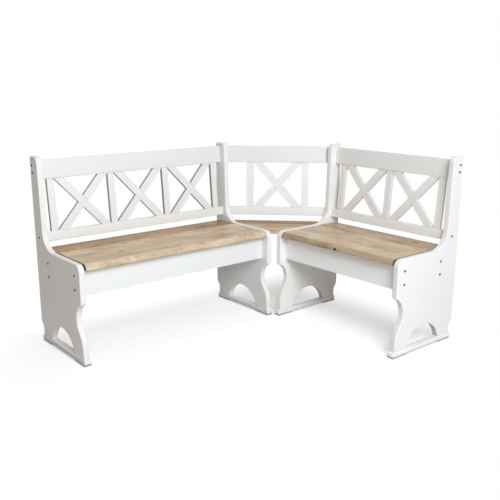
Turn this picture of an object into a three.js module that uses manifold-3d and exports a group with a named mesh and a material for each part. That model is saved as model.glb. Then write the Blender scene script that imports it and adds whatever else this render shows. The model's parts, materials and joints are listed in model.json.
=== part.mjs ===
// Corner storage bench: a long and a short bench with lift-up seats, joined by a corner seat.
// Millimetres, +Z up. The origin is on the floor, in the middle of the bench's bounding box.
// The long bench runs along X with its back towards +Y.
// The short bench stands at the +X end and runs towards -Y with its back towards +X.

import * as THREE from 'three';
import { mergeVertices } from 'three/addons/utils/BufferGeometryUtils.js';
import Module from 'manifold-3d';

const wasm = await Module();
wasm.setup();

// Plan, measured from the two walls that the backs stand against
const longReach = 1550; // wall corner to the far face of the long bench
const shortReach = 1250; // wall corner to the far face of the short bench
const cornerMargin = 20; // front edge of one inner panel to the face of the other

// Heights
const seatHeight = 458; // above the floor
const backHeight = 429; // top of the panels above the seat

// Side panels, with depths measured from the wall
const panelThickness = 27;
const panelDepth = 437;
const panelRise = 1; // panel edge above the seat
const panelEdge = 3; // rounding along the outline
const backTopDepth = 71;
const backFootDepth = 85;
const backTopRadius = 25;
const rearTopRadius = 5;
const seatHollowRadius = 90;
const frontTopRadius = 35;
const waistHeight = 205;
const waistDepth = 52;
const waistRadius = 87;
const toeInset = 4;
const toeStraight = 44;
const archRise = 93;
const archRadius = 120;
const reliefDepth = 20; // hollow at the rear that clears a skirting board
const reliefHeight = 95;
const reliefRadius = 40;

// Base rails, one under each side panel
const baseHeight = 29;
const baseProud = 4; // beyond each face of the panel
const baseToe = 11; // beyond the front of the panel's foot
const baseHeel = 4; // behind the panel's foot
const baseEdge = 3;
const baseEndRadius = 5;
const footLength = 85;
const footSlope = 22;
const footRise = 6; // hollow between the two feet

// Backs: two rails with posts and crossed braces between them, leaning back
const leanDegrees = 5;
const backDepth = 47; // wall to the middle of the lower rail
const topRailHeight = 88;
const topRailThickness = 28;
const topRailDrop = 18.5; // below the top of the panels
const railEdge = 3;
const lowerRailHeight = 44;
const lowerRailThickness = 26;
const lowerRailRise = 33.5; // gap above the seat
const latticeThickness = 18;
const latticeEdge = 1.5;
const latticeSetback = 1.5; // behind the front of the lower rail
const postWidth = 35;
const braceWidth = 38;
const longBayCount = 3;
const longEndGap = 31.5; // last post to the panel
const shortBayCount = 2;
const shortEndGap = 38;

// Seats: a fixed strip at the rear and a hinged lid in front of it
const seatThickness = 29;
const seatEdge = 1.5;
const seatRear = 35; // wall to the strip
const stripEndGap = 3;
const lidInset = 1.5; // behind the front edge of the panels
const lidTopRadius = 22;
const lidBottomRadius = 4;
const lidEndGap = 7;
const hingeLine = 161; // wall to the hinge axis
const hingeLineGap = 2.4; // between strip and lid
const jointRadius = 2.5; // arrises of strip and lid above the hinges

// Storage boxes under the lids
const boxBoardHeight = 120;
const boxBoardThickness = 18;
const boxBoardEdge = 1.5;
const apronSetback = 38.5; // behind the front edge of the lid
const boxBackFront = 131.5; // from the wall
const boxBottomThickness = 8;
const grooveDepth = 6;
const grooveRise = 8;

// Bolt recesses in the side panels
const boltRecessRadius = 5;
const boltRecessDepth = 6;
const boltFromTop = 22.5;
const boltFromBottom = 32;
const boxBoltFromTop = 24.5;

// Butt hinges let into the joint between strip and lid
const hingeLength = 64;
const hingeInset = 190; // end of the lid to the middle of the hinge
const hingeSink = 1.5; // hinge axis below the top of the seat
const knuckleRadius = 2;
const hingePinRadius = 1;
const leafThickness = 1.4;
const leafRise = 8; // foot of the leaf above the underside of the seat
const leafGap = 0.3;

// Corner seat and its back, measured along the inner panels
const cornerBayWidth = 269;
const cornerSeatSetback = 83; // behind the front edge of the panels
const cornerSeatRear = 50; // from the wall
const cleatSection = 25;
const cleatStart = 75; // from the wall
const cleatSetback = 33; // behind the front edge of the corner seat

// Clearances and facets
const fitGap = 0.3; // between pieces that touch
const grooveGap = 0.4; // round a knuckle in the wood
const cutOverrun = 2;
const arcStepDegrees = 7;
const edgeSegments = 2;
const knuckleSegments = 16;
const recessSegments = 12;

// Sizes that follow from the ones above
const lean = THREE.MathUtils.degToRad(leanDegrees);
const totalHeight = seatHeight + backHeight;
const cornerReach = panelDepth + cornerMargin; // wall corner to the panels that hold the corner seat
const cornerSeatFront = panelDepth - cornerSeatSetback;
const seatUnderside = seatHeight - seatThickness;
const hingeHeight = seatHeight - hingeSink;
const leafHeight = seatThickness - hingeSink - leafRise;
const boxBoardTop = seatUnderside - fitGap;
const boxBoardBottom = seatUnderside - boxBoardHeight;
const lidFront = panelDepth - lidInset;
const apronFront = lidFront - apronSetback;
const toeDepth = panelDepth - toeInset;
const baseFront = toeDepth + baseToe;
const baseRear = reliefDepth - baseHeel;
const outerBaseWidth = panelThickness + 2 * baseProud;
const innerBaseFace = Math.max(cornerReach - baseProud, baseFront + fitGap);
const innerBaseWidth = cornerReach + panelThickness + baseProud - innerBaseFace;
const lowerRailMiddle = seatHeight + lowerRailRise + lowerRailHeight / 2;
const topRailMiddle = totalHeight - topRailDrop - topRailHeight / 2;
const topRailClimb = (topRailMiddle - lowerRailMiddle) / Math.cos(lean);
const latticeForward = (lowerRailThickness - latticeThickness) / 2 - latticeSetback;
const latticeHeight = topRailClimb - topRailHeight / 2 - lowerRailHeight / 2 - 2 * fitGap;
const overallLength = longReach + baseProud;
const overallWidth = shortReach + baseProud;

// Finishes
const paint = new THREE.MeshStandardMaterial({ color: 0xf2f1ed, roughness: 0.5, metalness: 0 });
const oak = new THREE.MeshStandardMaterial({ color: 0xc4a67a, roughness: 0.55, metalness: 0 });
const bronze = new THREE.MeshStandardMaterial({ color: 0x8a7350, roughness: 0.4, metalness: 0.9 });

// Outlines

function point(x, y) {
  return new THREE.Vector2(x, y);
}

// Points along an arc, both ends included; it runs clockwise where toAngle is the smaller
function arcPoints(centre, radius, fromAngle, toAngle) {
  const step = THREE.MathUtils.degToRad(arcStepDegrees);
  const count = Math.max(1, Math.ceil(Math.abs(toAngle - fromAngle) / step));
  const points = [];
  for (let i = 0; i <= count; i += 1) {
    const angle = fromAngle + ((toAngle - fromAngle) * i) / count;
    points.push(point(centre.x + radius * Math.cos(angle), centre.y + radius * Math.sin(angle)));
  }
  return points;
}

// A corner rounded to a radius, as the points of the arc between its two sides
function roundedCorner(before, corner, after, radius) {
  const towardsBefore = before.clone().sub(corner).normalize();
  const towardsAfter = after.clone().sub(corner).normalize();
  const halfAngle = Math.acos(towardsBefore.dot(towardsAfter)) / 2;
  const middle = towardsBefore.clone().add(towardsAfter).normalize();
  const centre = corner.clone().addScaledVector(middle, radius / Math.sin(halfAngle));
  const tangentLength = radius / Math.tan(halfAngle);
  const start = corner.clone().addScaledVector(towardsBefore, tangentLength).sub(centre);
  const end = corner.clone().addScaledVector(towardsAfter, tangentLength).sub(centre);
  const fromAngle = start.angle();
  let turn = end.angle() - fromAngle;
  if (turn > Math.PI) turn -= 2 * Math.PI;
  if (turn < -Math.PI) turn += 2 * Math.PI;
  return arcPoints(centre, radius, fromAngle, fromAngle + turn);
}

// A closed outline from corners, each an array of a point and its radius
function roundedOutline(corners) {
  const points = [];
  corners.forEach(([corner, radius], i) => {
    const before = corners[(i + corners.length - 1) % corners.length][0];
    const after = corners[(i + 1) % corners.length][0];
    if (radius > 0) points.push(...roundedCorner(before, corner, after, radius));
    else points.push(corner);
  });
  return points;
}

function rectangle(x0, y0, x1, y1) {
  return [point(x0, y0), point(x1, y0), point(x1, y1), point(x0, y1)];
}

// Solids

// A board of the given outline, from z = 0 up to its thickness, with rounded edges
function board(outline, thickness, edge) {
  const shape = new THREE.Shape(outline.filter((p, i) => i === 0 || !p.equals(outline[i - 1])));
  const geometry = new THREE.ExtrudeGeometry(shape, {
    depth: thickness - 2 * edge,
    bevelEnabled: edge > 0,
    bevelThickness: edge,
    bevelSize: edge,
    bevelOffset: -edge,
    bevelSegments: edgeSegments,
  });
  return geometry.translate(0, 0, edge);
}

// A board whose outline is drawn as depth from the wall and height, starting at x = 0
function sideBoard(outline, thickness, edge) {
  const turn = new THREE.Matrix4().makeBasis(
    new THREE.Vector3(0, -1, 0),
    new THREE.Vector3(0, 0, 1),
    new THREE.Vector3(-1, 0, 0),
  );
  return board(outline, thickness, edge).applyMatrix4(turn).translate(thickness, 0, 0);
}

// A board whose outline is drawn as length and height, with its front face at y = -thickness / 2
function frontBoard(outline, thickness, edge) {
  const turn = new THREE.Matrix4().makeBasis(
    new THREE.Vector3(1, 0, 0),
    new THREE.Vector3(0, 0, 1),
    new THREE.Vector3(0, -1, 0),
  );
  return board(outline, thickness, edge).applyMatrix4(turn).translate(0, thickness / 2, 0);
}

// A round bar along x, centred on the origin
function roundBar(radius, length, segments) {
  return new THREE.CylinderGeometry(radius, radius, length, segments).rotateZ(Math.PI / 2);
}

function solidOf(geometry) {
  const bare = geometry.clone();
  bare.deleteAttribute('normal');
  bare.deleteAttribute('uv');
  const merged = mergeVertices(bare);
  return new wasm.Manifold(new wasm.Mesh({
    numProp: 3,
    vertProperties: Float32Array.from(merged.attributes.position.array),
    triVerts: Uint32Array.from(merged.index.array),
  }));
}

function geometryOf(solid) {
  const mesh = solid.getMesh();
  const geometry = new THREE.BufferGeometry();
  geometry.setAttribute('position', new THREE.BufferAttribute(mesh.vertProperties, mesh.numProp));
  geometry.setIndex(new THREE.BufferAttribute(mesh.triVerts, 1));
  const faceted = geometry.toNonIndexed();
  faceted.computeVertexNormals();
  return faceted;
}

function cut(geometry, cutters) {
  const solid = cutters.reduce((rest, cutter) => rest.subtract(solidOf(cutter)), solidOf(geometry));
  return geometryOf(solid);
}

function place(group, name, geometry, material, x = 0, y = 0, z = 0) {
  const mesh = new THREE.Mesh(geometry, material);
  mesh.name = name;
  mesh.position.set(x, y, z);
  group.add(mesh);
}

// Side panels

function panelOutline() {
  const reliefCentreDepth = reliefDepth - reliefRadius;
  const reliefAngle = Math.acos(-reliefCentreDepth / reliefRadius);
  const reliefCentre = point(
    reliefCentreDepth,
    reliefHeight - reliefRadius * Math.sin(reliefAngle),
  );

  const archCentre = point((toeDepth + reliefDepth) / 2, baseHeight + archRise - archRadius);
  const archAngle = Math.asin((baseHeight - archCentre.y) / archRadius);

  // The toe's curve meets the waist's curve smoothly, which sets the toe's radius
  const waistCentre = point(panelDepth - waistDepth + waistRadius, waistHeight);
  const toeHeight = baseHeight + toeStraight;
  const across = waistCentre.x - toeDepth;
  const upward = waistCentre.y - toeHeight;
  const toeRadius = (across ** 2 + upward ** 2 - waistRadius ** 2) / (2 * (waistRadius - across));
  const toeCentre = point(toeDepth - toeRadius, toeHeight);
  const meetingAngle = waistCentre.clone().sub(toeCentre).angle();
  const waistTopAngle = Math.acos((panelDepth - waistCentre.x) / waistRadius);

  const seatLine = seatHeight + panelRise;
  const frontFoot = point(panelDepth, waistHeight);
  const frontTop = point(panelDepth, seatLine);
  const hollow = point(backFootDepth, seatLine);
  const backTop = point(backTopDepth, totalHeight);
  const rearTop = point(0, totalHeight);
  const rearFoot = point(0, reliefHeight);

  return [
    ...arcPoints(reliefCentre, reliefRadius, reliefAngle, 0),
    point(reliefDepth, baseHeight),
    ...arcPoints(archCentre, archRadius, Math.PI - archAngle, archAngle),
    point(toeDepth, baseHeight),
    ...arcPoints(toeCentre, toeRadius, 0, meetingAngle).slice(0, -1),
    ...arcPoints(waistCentre, waistRadius, Math.PI + meetingAngle, waistTopAngle),
    ...roundedCorner(frontFoot, frontTop, hollow, frontTopRadius),
    ...roundedCorner(frontTop, hollow, backTop, seatHollowRadius),
    ...roundedCorner(hollow, backTop, rearTop, backTopRadius),
    ...roundedCorner(backTop, rearTop, rearFoot, rearTopRadius),
  ];
}

// Where the bolts pass through a panel into the ends of the rails and box boards
function boltPlaces() {
  const alongLean = (climb) => point(
    backDepth - climb * Math.sin(lean),
    lowerRailMiddle + climb * Math.cos(lean),
  );
  const places = [
    alongLean(0),
    alongLean(topRailClimb + topRailHeight / 2 - boltFromTop),
    alongLean(topRailClimb - topRailHeight / 2 + boltFromBottom),
  ];
  for (const boardFront of [apronFront, boxBackFront]) {
    const middle = boardFront - boxBoardThickness / 2;
    places.push(point(middle, seatUnderside - boxBoltFromTop));
    places.push(point(middle, boxBoardBottom + boltFromBottom));
  }
  return places;
}

// A panel from x = 0 to its thickness, with the recesses at one of those two faces
function sidePanel(boltFace) {
  const recesses = boltPlaces().map((p) => roundBar(
    boltRecessRadius,
    2 * boltRecessDepth,
    recessSegments,
  ).translate(boltFace, -p.x, p.y));
  return cut(sideBoard(panelOutline(), panelThickness, panelEdge), recesses);
}

// A base rail; those of the two inner panels are narrower where their toes would meet
function baseRail(width) {
  const outline = roundedOutline([
    [point(baseRear, 0), 0],
    [point(baseRear + footLength, 0), 0],
    [point(baseRear + footLength + footSlope, footRise), 0],
    [point(baseFront - footLength - footSlope, footRise), 0],
    [point(baseFront - footLength, 0), 0],
    [point(baseFront, 0), 0],
    [point(baseFront, baseHeight - fitGap), baseEndRadius],
    [point(baseRear, baseHeight - fitGap), baseEndRadius],
  ]);
  return sideBoard(outline, width, baseEdge);
}

// Backs, drawn upright about the middle of the lower rail and then leaned

function backRail(length, height, thickness) {
  const outline = rectangle(0, -height / 2, length, height / 2);
  return frontBoard(outline, thickness, railEdge);
}

function post() {
  return frontBoard(rectangle(0, 0, postWidth, latticeHeight), latticeThickness, latticeEdge);
}

// Outline of a brace from the lower left to the upper right corner of a bay, widened by extra
function braceOutline(bayWidth, extra) {
  const squares = latticeHeight ** 2 + bayWidth ** 2 - braceWidth ** 2;
  const slice = (braceWidth * (latticeHeight * Math.sqrt(squares) - braceWidth * bayWidth))
    / (latticeHeight ** 2 - braceWidth ** 2);
  const more = (extra * slice) / braceWidth;
  return [
    point(-more, 0),
    point(slice + more, 0),
    point(bayWidth + more, latticeHeight),
    point(bayWidth - slice - more, latticeHeight),
  ];
}

// The two braces of a bay, halved into each other where they cross
function bracePair(bayWidth) {
  const mirrored = (outline) => outline.map((p) => point(bayWidth - p.x, p.y)).reverse();
  const rising = braceOutline(bayWidth, 0);
  const widened = braceOutline(bayWidth, fitGap);
  const notchDepth = latticeThickness / 2 + cutOverrun;
  const notchShift = notchDepth / 2 - fitGap / 2;
  const frontNotch = frontBoard(mirrored(widened), notchDepth, 0).translate(0, -notchShift, 0);
  const rearNotch = frontBoard(widened, notchDepth, 0).translate(0, notchShift, 0);
  return {
    rising: cut(frontBoard(rising, latticeThickness, latticeEdge), [frontNotch]),
    falling: cut(frontBoard(mirrored(rising), latticeThickness, latticeEdge), [rearNotch]),
  };
}

// Posts and braces of a back, centred on x = 0
function addLattice(group, name, bayCount, bayWidth) {
  const pitch = bayWidth + postWidth;
  const start = -(bayCount * pitch + postWidth) / 2;
  const foot = lowerRailHeight / 2 + fitGap;
  const forward = -latticeForward;
  for (let i = 0; i <= bayCount; i += 1) {
    place(group, `${name}_post_${i + 1}`, post(), paint, start + i * pitch, forward, foot);
  }
  for (let i = 0; i < bayCount; i += 1) {
    const left = start + i * pitch + postWidth + fitGap;
    const braces = bracePair(bayWidth - 2 * fitGap);
    place(group, `${name}_brace_rising_${i + 1}`, braces.rising, paint, left, forward, foot);
    place(group, `${name}_brace_falling_${i + 1}`, braces.falling, paint, left, forward, foot);
  }
}

// A group whose z axis leans back, at the middle of the lower rail
function leaningGroup(x, y) {
  const group = new THREE.Group();
  group.position.set(x, y, lowerRailMiddle);
  group.rotation.x = -lean;
  return group;
}

// Hinges, drawn about the middle of the hinge axis: the strip is towards +y, the lid towards -y

function hingeLeaves() {
  const third = hingeLength / 3;
  const plateMiddle = (leafGap + leafThickness) / 2;
  const plate = () => new THREE.BoxGeometry(hingeLength, leafThickness, leafHeight);
  const knuckle = () => roundBar(knuckleRadius, third - fitGap, knuckleSegments);
  const clearance = () => roundBar(knuckleRadius + fitGap, third + fitGap, knuckleSegments);
  const pin = roundBar(hingePinRadius, hingeLength - fitGap, knuckleSegments);
  const pinBore = roundBar(hingePinRadius + fitGap, hingeLength, knuckleSegments);

  const fixed = solidOf(plate().translate(0, plateMiddle, -leafHeight / 2))
    .subtract(solidOf(clearance()))
    .add(solidOf(knuckle().translate(third, 0, 0)))
    .add(solidOf(knuckle().translate(-third, 0, 0)))
    .add(solidOf(pin));
  const moving = solidOf(plate().translate(0, -plateMiddle, -leafHeight / 2))
    .add(solidOf(knuckle()))
    .subtract(solidOf(clearance().translate(third, 0, 0)))
    .subtract(solidOf(clearance().translate(-third, 0, 0)))
    .subtract(solidOf(pinBore));
  return { fixed: geometryOf(fixed), moving: geometryOf(moving) };
}

// The wood that a hinge takes out of the strip and the lid
function hingePocket() {
  const reach = leafGap / 2 + leafThickness + fitGap;
  const length = hingeLength + 2 * fitGap;
  const slot = new THREE.BoxGeometry(length, 2 * reach, leafHeight + fitGap + cutOverrun)
    .translate(0, 0, (cutOverrun - leafHeight - fitGap) / 2);
  const groove = roundBar(knuckleRadius + grooveGap, length, knuckleSegments);
  return [slot, groove];
}

// Seat boards and the storage box

function lid(length) {
  const rear = hingeLine + hingeLineGap / 2;
  const topRadius = Math.min(lidTopRadius, seatThickness - lidBottomRadius - fitGap);
  const outline = roundedOutline([
    [point(rear, seatUnderside), 0],
    [point(lidFront, seatUnderside), lidBottomRadius],
    [point(lidFront, seatHeight), topRadius],
    [point(rear, seatHeight), jointRadius],
  ]);
  return sideBoard(outline, length, seatEdge);
}

function seatStrip(length) {
  const front = hingeLine - hingeLineGap / 2;
  const outline = roundedOutline([
    [point(seatRear, seatUnderside), 0],
    [point(front, seatUnderside), 0],
    [point(front, seatHeight), jointRadius],
    [point(seatRear, seatHeight), 0],
  ]);
  return sideBoard(outline, length, seatEdge);
}

// Front or back board of the box, with the groove for the box bottom in its inner face
function boxBoard(length, boardFront, grooveFace) {
  const rear = boardFront - boxBoardThickness;
  const outline = rectangle(rear, boxBoardBottom, boardFront, boxBoardTop);
  const groove = new THREE.BoxGeometry(
    length + 2 * cutOverrun,
    2 * grooveDepth,
    boxBottomThickness + 2 * fitGap,
  ).translate(length / 2, -grooveFace, boxBoardBottom + grooveRise + boxBottomThickness / 2);
  return cut(sideBoard(outline, length, boxBoardEdge), [groove]);
}

function boxBottom(length) {
  const rear = boxBackFront - grooveDepth + fitGap;
  const front = apronFront - boxBoardThickness + grooveDepth - fitGap;
  const underside = boxBoardBottom + grooveRise;
  const outline = rectangle(rear, underside, front, underside + boxBottomThickness);
  return sideBoard(outline, length, 0);
}

// Benches, with the wall at y = 0; side is -1 for a bench towards -x and 1 for one towards +x

// Where a piece starts that covers a length, beginning at a distance from the wall corner
function startOf(side, distance, length) {
  return side > 0 ? distance : -(distance + length);
}

function addBench(group, name, side, reach, bayCount, endGap) {
  const innerPanelStart = startOf(side, cornerReach, panelThickness);
  const outerPanelStart = startOf(side, reach - panelThickness, panelThickness);
  const innerBoltFace = side > 0 ? 0 : panelThickness;
  const outerBoltFace = panelThickness - innerBoltFace;
  place(group, `${name}_inner_panel`, sidePanel(innerBoltFace), paint, innerPanelStart);
  place(group, `${name}_outer_panel`, sidePanel(outerBoltFace), paint, outerPanelStart);

  const innerBaseStart = startOf(side, innerBaseFace, innerBaseWidth);
  const outerBaseStart = startOf(side, reach + baseProud - outerBaseWidth, outerBaseWidth);
  place(group, `${name}_inner_base_rail`, baseRail(innerBaseWidth), paint, innerBaseStart);
  place(group, `${name}_outer_base_rail`, baseRail(outerBaseWidth), paint, outerBaseStart);

  const span = reach - cornerReach - 2 * panelThickness - 2 * fitGap;
  const left = startOf(side, cornerReach + panelThickness + fitGap, span);

  const back = leaningGroup(left + span / 2, -backDepth);
  const topRail = backRail(span, topRailHeight, topRailThickness);
  const lowerRail = backRail(span, lowerRailHeight, lowerRailThickness);
  place(back, `${name}_top_rail`, topRail, paint, -span / 2, 0, topRailClimb);
  place(back, `${name}_lower_rail`, lowerRail, paint, -span / 2);
  const postsLength = span + 2 * fitGap - 2 * endGap - postWidth;
  addLattice(back, name, bayCount, postsLength / bayCount - postWidth);
  group.add(back);

  const apronRear = apronFront - boxBoardThickness;
  place(group, `${name}_apron`, boxBoard(span, apronFront, apronRear), paint, left);
  place(group, `${name}_box_back`, boxBoard(span, boxBackFront, boxBackFront), paint, left);
  place(group, `${name}_box_bottom`, boxBottom(span), paint, left);

  const hingePlaces = [left + lidEndGap + hingeInset, left + span - lidEndGap - hingeInset];
  const pockets = hingePlaces.flatMap((x) => hingePocket().map(
    (part) => part.translate(x, -hingeLine, hingeHeight),
  ));
  const moved = (geometry, x) => geometry.translate(x, 0, 0);
  const stripStart = left + stripEndGap;
  const strip = cut(moved(seatStrip(span - 2 * stripEndGap), stripStart), pockets);
  const lidStart = left + lidEndGap;
  const lidBoard = cut(moved(lid(span - 2 * lidEndGap), lidStart), pockets);
  place(group, `${name}_seat_strip`, strip, oak);
  place(group, `${name}_seat_lid`, lidBoard, oak);
  hingePlaces.forEach((x, i) => {
    const { fixed, moving } = hingeLeaves();
    place(group, `${name}_hinge_${i + 1}_strip_leaf`, fixed, bronze, x, -hingeLine, hingeHeight);
    place(group, `${name}_hinge_${i + 1}_lid_leaf`, moving, bronze, x, -hingeLine, hingeHeight);
  });
}

// Corner, drawn about the wall corner with y along the diagonal

// The room between the two inner panels, as a tall box turned to stand square to the walls
function cornerRoom() {
  const side = cornerReach - fitGap;
  const height = 2 * totalHeight;
  return new THREE.BoxGeometry(side, side, height)
    .translate(-side / 2, -side / 2, 0)
    .rotateZ(Math.PI / 4);
}

// A rail of the corner back, leaned and then mitred against the two panels
function cornerRail(climb, height, thickness) {
  const length = 2 * cornerReach;
  const middle = -(cornerReach + backDepth) / Math.SQRT2;
  const rail = backRail(length, height, thickness)
    .translate(-length / 2, 0, climb)
    .rotateX(-lean)
    .translate(0, middle, lowerRailMiddle);
  return geometryOf(solidOf(rail).intersect(solidOf(cornerRoom())));
}

function cornerSeat() {
  const reach = Math.SQRT2 * (cornerReach - fitGap);
  const rear = (cornerReach + cornerSeatRear) / Math.SQRT2;
  const front = (cornerReach + cornerSeatFront) / Math.SQRT2;
  const outline = [
    point(rear - reach, -rear),
    point(front - reach, -front),
    point(reach - front, -front),
    point(reach - rear, -rear),
  ];
  return board(outline, seatThickness, seatEdge).translate(0, 0, seatUnderside);
}

function cleat() {
  const top = seatUnderside - fitGap;
  const end = cornerSeatFront - cleatSetback;
  const outline = rectangle(cleatStart, top - cleatSection, end, top);
  return sideBoard(outline, cleatSection, seatEdge);
}

function addCorner(group) {
  const topRail = cornerRail(topRailClimb, topRailHeight, topRailThickness);
  const lowerRail = cornerRail(0, lowerRailHeight, lowerRailThickness);
  place(group, 'corner_top_rail', topRail, paint);
  place(group, 'corner_lower_rail', lowerRail, paint);
  const back = leaningGroup(0, -(cornerReach + backDepth) / Math.SQRT2);
  addLattice(back, 'corner', 1, cornerBayWidth);
  group.add(back);
  place(group, 'corner_seat', cornerSeat(), oak);
}

// Assembly: everything hangs from the wall corner

const longBench = new THREE.Group();
addBench(longBench, 'long', -1, longReach, longBayCount, longEndGap);
place(longBench, 'long_side_cleat', cleat(), paint, fitGap - cornerReach);

const shortBench = new THREE.Group();
shortBench.rotation.z = -Math.PI / 2;
addBench(shortBench, 'short', 1, shortReach, shortBayCount, shortEndGap);
const shortCleatStart = cornerReach - fitGap - cleatSection;
place(shortBench, 'short_side_cleat', cleat(), paint, shortCleatStart);

const corner = new THREE.Group();
corner.rotation.z = -Math.PI / 4;
addCorner(corner);

const wallCorner = new THREE.Group();
wallCorner.position.set(overallLength / 2, overallWidth / 2, 0);
wallCorner.add(longBench, shortBench, corner);

const bench = new THREE.Group();
bench.add(wallCorner);

export default bench;
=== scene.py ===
# %% [markdown]
# # A corner storage bench
#
# A long and a short storage bench meet in a corner seat. The boards are painted white and the seats are
# oak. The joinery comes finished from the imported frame, so this file is about everything after the
# joiner: softened arrises, paint, oak figure, bolts and screws, light and camera.
#
# Lengths are metres. X runs along the long bench towards the corner and Y towards the wall behind it.
# The short bench stands at +X, with its back to +X.

import json
import math

import bpy
from mathutils import Euler, Matrix, Vector


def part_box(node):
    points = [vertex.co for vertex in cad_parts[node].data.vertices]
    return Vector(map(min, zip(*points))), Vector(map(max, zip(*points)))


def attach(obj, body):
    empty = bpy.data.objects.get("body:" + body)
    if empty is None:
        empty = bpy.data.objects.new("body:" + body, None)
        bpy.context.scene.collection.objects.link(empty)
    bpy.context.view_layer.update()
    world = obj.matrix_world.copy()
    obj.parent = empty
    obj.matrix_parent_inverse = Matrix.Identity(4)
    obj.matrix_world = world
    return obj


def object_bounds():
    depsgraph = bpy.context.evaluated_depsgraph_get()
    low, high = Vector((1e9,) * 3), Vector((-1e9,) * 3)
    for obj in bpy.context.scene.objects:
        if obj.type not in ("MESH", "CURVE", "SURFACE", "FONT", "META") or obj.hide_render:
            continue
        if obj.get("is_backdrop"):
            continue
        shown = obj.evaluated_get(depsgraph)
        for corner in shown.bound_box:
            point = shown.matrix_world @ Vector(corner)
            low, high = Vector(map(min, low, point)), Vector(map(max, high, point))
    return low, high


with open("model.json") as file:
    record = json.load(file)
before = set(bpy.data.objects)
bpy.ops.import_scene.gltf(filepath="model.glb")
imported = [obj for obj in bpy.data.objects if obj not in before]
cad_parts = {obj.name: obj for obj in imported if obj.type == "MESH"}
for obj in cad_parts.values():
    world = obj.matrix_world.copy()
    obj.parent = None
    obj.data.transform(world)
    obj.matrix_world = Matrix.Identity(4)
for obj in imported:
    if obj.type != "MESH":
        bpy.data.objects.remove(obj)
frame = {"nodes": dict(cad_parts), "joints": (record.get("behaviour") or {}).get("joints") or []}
nodes = frame["nodes"]
cad_low, cad_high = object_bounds()
print("frame", len(nodes), "nodes, box", [round(value, 4) for value in (*cad_low, *cad_high)])

# %% [markdown]
# ## Camera
#
# A photograph can be answered with the same view only if the camera stands where the photographer
# stood. The place, the angles and the lens below were worked out from the straight edges of both
# benches. A camera in Blender looks down its own -Z. It is first rolled a little about that axis, then
# tipped up from the floor by a right angle less the downward tilt, and then turned about the vertical.

# %% Camera
CAMERA_PLACE = (-2.0255, -2.4401, 1.2375)
CAMERA_TILT_DOWN = 0.24538
CAMERA_TURN = 0.69647
CAMERA_ROLL = 0.0015
CAMERA_LENS = 49.72

camera_data = bpy.data.cameras.new("camera")
camera_data.lens = CAMERA_LENS
camera = bpy.data.objects.new("camera", camera_data)
camera.location = CAMERA_PLACE
aim = Euler((math.pi / 2 - CAMERA_TILT_DOWN, 0, -CAMERA_TURN)).to_matrix()
camera.rotation_euler = (aim @ Matrix.Rotation(CAMERA_ROLL, 3, "Z")).to_euler()
bpy.context.scene.collection.objects.link(camera)
bpy.context.scene.camera = camera
bpy.context.scene.view_settings.view_transform = "Standard"
print("camera at", CAMERA_PLACE, "lens", CAMERA_LENS)

# %% [markdown]
# ## Node graphs as Python
#
# Materials and Geometry Nodes are both graphs, but a pattern is easier to read as a formula. `Output`
# wraps one output of a node and overloads the operators, so `1 - mask * 0.5` adds its Math nodes by
# itself. `Graph.add` makes any other node: its type, its settings, which are set first, and then the
# values or links of its sockets. `Graph.node` does the same and hands back a single output.

# %% Outputs that can be used in sums
class Output:
    """One output of a node."""

    def __init__(self, graph, socket):
        self.graph = graph
        self.socket = socket

    def maths(self, operation, *others):
        return self.graph.maths(operation, self, *others)

    def __add__(self, other):
        return self.maths("ADD", other)

    def __sub__(self, other):
        return self.maths("SUBTRACT", other)

    def __rsub__(self, other):
        return self.graph.maths("SUBTRACT", other, self)

    def __mul__(self, other):
        return self.maths("MULTIPLY", other)

    __radd__ = __add__
    __rmul__ = __mul__


# %% A graph and its one method for nodes
class Graph:
    """A node tree under construction."""

    def __init__(self, tree):
        self.tree = tree
        tree.nodes.clear()

    def add(self, kind, settings=None, inputs=None):
        """Adds a node and returns it."""
        made = self.tree.nodes.new(kind)
        for name, value in (settings or {}).items():
            setattr(made, name, value)
        for name, value in (inputs or {}).items():
            for item in value if isinstance(value, list) else [value]:
                if isinstance(item, Output):
                    self.tree.links.new(item.socket, made.inputs[name])
                else:
                    made.inputs[name].default_value = item
        return made

    def node(self, kind, settings=None, inputs=None, output=0):
        """Adds a node and returns one of its outputs."""
        return Output(self, self.add(kind, settings, inputs).outputs[output])

    def maths(self, operation, *values):
        return self.node("ShaderNodeMath", {"operation": operation}, dict(enumerate(values)))

    def vector(self, operation, *values, output="Vector"):
        settings = {"operation": operation}
        return self.node("ShaderNodeVectorMath", settings, dict(enumerate(values)), output)


# %% [markdown]
# A finish is a graph with a few words of its own. `object_place` is a point's place in the frame,
# because every piece stands at the origin, and `reach` measures it along a direction. `step` fades from
# 0 to 1 between two values. `noise` is centred on 0, and `grain_noise` is drawn out along X, where the
# grain of a board will lie.

# %% A material's graph
MIX_FIRST, MIX_SECOND, MIX_COLOUR = 6, 7, 2
NOISE_MIDDLE = 0.5


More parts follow.
